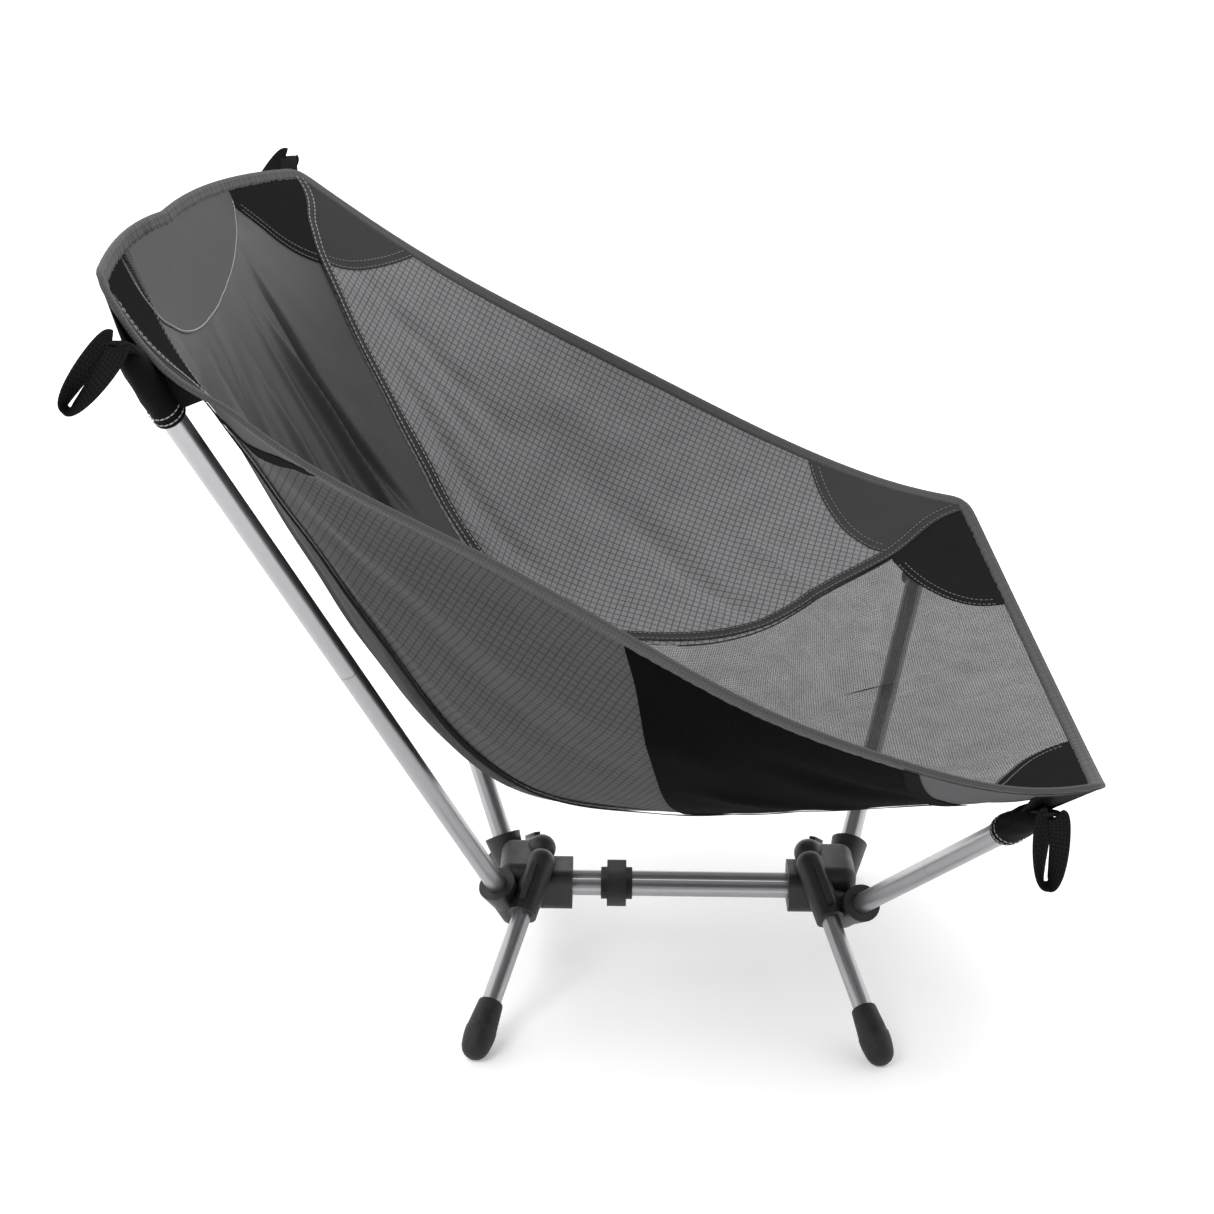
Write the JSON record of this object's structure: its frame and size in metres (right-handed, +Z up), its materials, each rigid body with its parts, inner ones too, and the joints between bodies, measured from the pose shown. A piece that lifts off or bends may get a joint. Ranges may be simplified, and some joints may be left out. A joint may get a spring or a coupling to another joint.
{
  "type": "ultralight backpacking chair",
  "caption": "Low pole-frame camp chair: moulded hubs joined by a spreader carry splayed legs and slanted poles that stretch a hammock seat.",
  "frame": {"origin": "on the floor, under the middle of the whole chair", "axes": "+X the way the sitter faces, +Y the sitter's left, +Z up"},
  "size_m": [0.599, 0.6204, 0.5343],
  "materials": {
    "anodised_tube": "satin silver anodised",
    "ferrule_metal": "plain drawn",
    "hub_nylon": "moulded, fine grain",
    "plug_nylon": "moulded",
    "foot_rubber": "matt",
    "ripstop": "ripstop weave with a dark grid",
    "back_nylon": "coated, slightly shiny",
    "seat_net": "fine translucent net",
    "front_cloth": "plain weave",
    "binding_tape": "folded tape",
    "pocket_cloth": "heavy plain weave",
    "webbing": "ribbed webbing",
    "strap_tape": "hook and loop tape"
  },
  "bodies": {
    "frame": {"rear_hub": "hub_nylon", "front_hub": "hub_nylon", "spreader_tube_right": "anodised_tube", "spreader_tube_left": "anodised_tube"},
    "strap": {"strap_band": "strap_tape", "strap_end": "strap_tape"},
    "seat": {"back_panel": "back_nylon", "binding_back": "binding_tape", "binding_front": "binding_tape", "binding_side_left": "binding_tape", "binding_side_right": "binding_tape", "pocket_front_left": "pocket_cloth", "pocket_front_right": "pocket_cloth", "pocket_rear_left": "pocket_cloth", "pocket_rear_right": "pocket_cloth", "seat_mesh": "seat_net", "side_front_left": "front_cloth", "side_front_right": "front_cloth", "side_rear_left": "ripstop", "side_rear_right": "ripstop"},
    "leg_rear_right": {"leg_rear_right": "anodised_tube", "foot_rear_right": "foot_rubber"},
    "pole_lower_rear_right": {"pole_lower_rear_right": "anodised_tube", "ferrule_rear_right": "ferrule_metal"},
    "pole_upper_rear_right": {"pole_upper_rear_right": "anodised_tube", "tip_plug_rear_right": "plug_nylon"},
    "loop_rear_right": {"loop_rear_right": "webbing"},
    "leg_rear_left": {"leg_rear_left": "anodised_tube", "foot_rear_left": "foot_rubber"},
    "pole_lower_rear_left": {"pole_lower_rear_left": "anodised_tube", "ferrule_rear_left": "ferrule_metal"},
    "pole_upper_rear_left": {"pole_upper_rear_left": "anodised_tube", "tip_plug_rear_left": "plug_nylon"},
    "loop_rear_left": {"loop_rear_left": "webbing"},
    "leg_front_right": {"leg_front_right": "anodised_tube", "foot_front_right": "foot_rubber"},
    "pole_lower_front_right": {"pole_lower_front_right": "anodised_tube", "ferrule_front_right": "ferrule_metal"},
    "pole_upper_front_right": {"pole_upper_front_right": "anodised_tube", "tip_plug_front_right": "plug_nylon"},
    "loop_front_right": {"loop_front_right": "webbing"},
    "leg_front_left": {"leg_front_left": "anodised_tube", "foot_front_left": "foot_rubber"},
    "pole_lower_front_left": {"pole_lower_front_left": "anodised_tube", "ferrule_front_left": "ferrule_metal"},
    "pole_upper_front_left": {"pole_upper_front_left": "anodised_tube", "tip_plug_front_left": "plug_nylon"},
    "loop_front_left": {"loop_front_left": "webbing"}
  },
  "joints": [
    {"name": "strap_slide", "type": "slide", "parent": "frame", "child": "strap", "axis": [1, 0, 0], "range_m": [-0.019, 0.108]},
    {"name": "seat_lift", "type": "slide", "parent": "frame", "child": "seat", "axis": [0, 0, 1], "range_m": [0, 0.2]},
    {"name": "leg_pull_rear_right", "type": "slide", "parent": "frame", "child": "leg_rear_right", "axis": [-0.2616, -0.8236, -0.5033], "range_m": [0, 0.045], "stiffness_N_per_m": 60, "springref_m": -0.12},
    {"name": "pole_pull_rear_right", "type": "slide", "parent": "frame", "child": "pole_lower_rear_right", "axis": [-0.3287, -0.4689, 0.8198], "range_m": [0, 0.036]},
    {"name": "section_pull_rear_right", "type": "slide", "parent": "pole_lower_rear_right", "child": "pole_upper_rear_right", "axis": [-0.3287, -0.4689, 0.8198], "range_m": [0, 0.032]},
    {"name": "loop_swing_rear_right", "type": "hinge", "parent": "seat", "child": "loop_rear_right", "pos_m": [-0.26339, -0.3032, 0.52111], "axis": [0, 1, 0], "range_deg": [-50, 80]},
    {"name": "leg_pull_rear_left", "type": "slide", "parent": "frame", "child": "leg_rear_left", "axis": [-0.2616, 0.8236, -0.5033], "range_m": [0, 0.045], "stiffness_N_per_m": 60, "springref_m": -0.12},
    {"name": "pole_pull_rear_left", "type": "slide", "parent": "frame", "child": "pole_lower_rear_left", "axis": [-0.3287, 0.4689, 0.8198], "range_m": [0, 0.036]},
    {"name": "section_pull_rear_left", "type": "slide", "parent": "pole_lower_rear_left", "child": "pole_upper_rear_left", "axis": [-0.3287, 0.4689, 0.8198], "range_m": [0, 0.032]},
    {"name": "loop_swing_rear_left", "type": "hinge", "parent": "seat", "child": "loop_rear_left", "pos_m": [-0.26339, 0.3032, 0.52111], "axis": [0, 1, 0], "range_deg": [-50, 80]},
    {"name": "leg_pull_front_right", "type": "slide", "parent": "frame", "child": "leg_front_right", "axis": [0.2638, -0.8273, -0.4959], "range_m": [0, 0.045], "stiffness_N_per_m": 60, "springref_m": -0.12},
    {"name": "pole_pull_front_right", "type": "slide", "parent": "frame", "child": "pole_lower_front_right", "axis": [0.2628, -0.7467, 0.6111], "range_m": [0, 0.036]},
    {"name": "section_pull_front_right", "type": "slide", "parent": "pole_lower_front_right", "child": "pole_upper_front_right", "axis": [0.2628, -0.7467, 0.6111], "range_m": [0, 0.032]},
    {"name": "loop_swing_front_right", "type": "hinge", "parent": "seat", "child": "loop_front_right", "pos_m": [0.23791, -0.27527, 0.25087], "axis": [0, 1, 0], "range_deg": [-70, 70]},
    {"name": "leg_pull_front_left", "type": "slide", "parent": "frame", "child": "leg_front_left", "axis": [0.2638, 0.8273, -0.4959], "range_m": [0, 0.045], "stiffness_N_per_m": 60, "springref_m": -0.12},
    {"name": "pole_pull_front_left", "type": "slide", "parent": "frame", "child": "pole_lower_front_left", "axis": [0.2628, 0.7467, 0.6111], "range_m": [0, 0.036]},
    {"name": "section_pull_front_left", "type": "slide", "parent": "pole_lower_front_left", "child": "pole_upper_front_left", "axis": [0.2628, 0.7467, 0.6111], "range_m": [0, 0.032]},
    {"name": "loop_swing_front_left", "type": "hinge", "parent": "seat", "child": "loop_front_left", "pos_m": [0.23791, 0.27527, 0.25087], "axis": [0, 1, 0], "range_deg": [-70, 70]}
  ],
  "couplings": [
    {"joint": "pole_pull_rear_right", "follows": "seat_lift", "ratio": 0.18},
    {"joint": "section_pull_rear_right", "follows": "seat_lift", "ratio": 0.16},
    {"joint": "pole_pull_rear_left", "follows": "seat_lift", "ratio": 0.18},
    {"joint": "section_pull_rear_left", "follows": "seat_lift", "ratio": 0.16},
    {"joint": "pole_pull_front_right", "follows": "seat_lift", "ratio": 0.18},
    {"joint": "section_pull_front_right", "follows": "seat_lift", "ratio": 0.16},
    {"joint": "pole_pull_front_left", "follows": "seat_lift", "ratio": 0.18},
    {"joint": "section_pull_front_left", "follows": "seat_lift", "ratio": 0.16}
  ]
}
